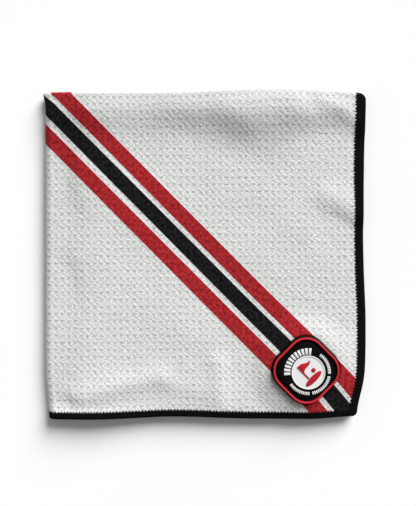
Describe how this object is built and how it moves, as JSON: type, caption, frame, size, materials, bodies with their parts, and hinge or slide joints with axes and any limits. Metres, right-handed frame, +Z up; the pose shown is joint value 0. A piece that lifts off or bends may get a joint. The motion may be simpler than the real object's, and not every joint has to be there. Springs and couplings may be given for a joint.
{
  "type": "magnetic golf towel",
  "caption": "Square waffle microfibre golf towel folded in quarters, with overlocked edges, a printed diagonal band and a moulded magnetic patch.",
  "frame": {"origin": "under the middle of the folded towel, on the surface that it lies on", "axes": "+Z up through the four layers, +Y towards the top fold, +X away from the left fold"},
  "size_m": [0.203, 0.208, 0.0142],
  "materials": {
    "waffle_cloth": "matt white waffle microfibre, printed with red and black stripes",
    "looper_thread": "matt black textured thread",
    "needle_thread": "matt black spun thread",
    "black_soft_rubber": "satin black soft moulding",
    "red_soft_rubber": "satin red soft moulding",
    "white_soft_rubber": "satin white soft moulding",
    "backing_felt": "matt black felt",
    "nickel_plate": "satin nickel plate"
  },
  "bodies": {
    "back_half": {"cloth_back_half": "waffle_cloth", "edge_band_back_side": "looper_thread", "edge_band_back_outer_end": "looper_thread", "edge_band_back_inner_end": "looper_thread", "seam_thread_back_side": "needle_thread", "seam_thread_back_outer_end": "needle_thread", "seam_thread_back_inner_end": "needle_thread"},
    "front_half": {"cloth_front_half": "waffle_cloth", "edge_band_front_side": "looper_thread", "edge_band_front_outer_end": "looper_thread", "edge_band_front_inner_end": "looper_thread", "seam_thread_front_side": "needle_thread", "seam_thread_front_outer_end": "needle_thread", "seam_thread_front_inner_end": "needle_thread", "patch_backing": "backing_felt", "magnet_disc": "nickel_plate", "patch_body": "black_soft_rubber", "patch_rim": "red_soft_rubber", "patch_sewing_thread": "needle_thread", "white_disc": "white_soft_rubber", "disc_halo": "white_soft_rubber", "bar_row_upper": "white_soft_rubber", "bar_row_right": "white_soft_rubber", "bar_row_lower": "white_soft_rubber", "bar_row_left": "white_soft_rubber", "motif_pole": "red_soft_rubber", "motif_flag": "red_soft_rubber", "motif_green": "red_soft_rubber", "motif_ball": "red_soft_rubber"}
  },
  "joints": [
    {"name": "book_fold", "type": "hinge", "parent": "back_half", "child": "front_half", "pos_m": [-0.1018, 0, 0.0045], "axis": [0, -1, 0], "range_deg": [0, 175]}
  ]
}
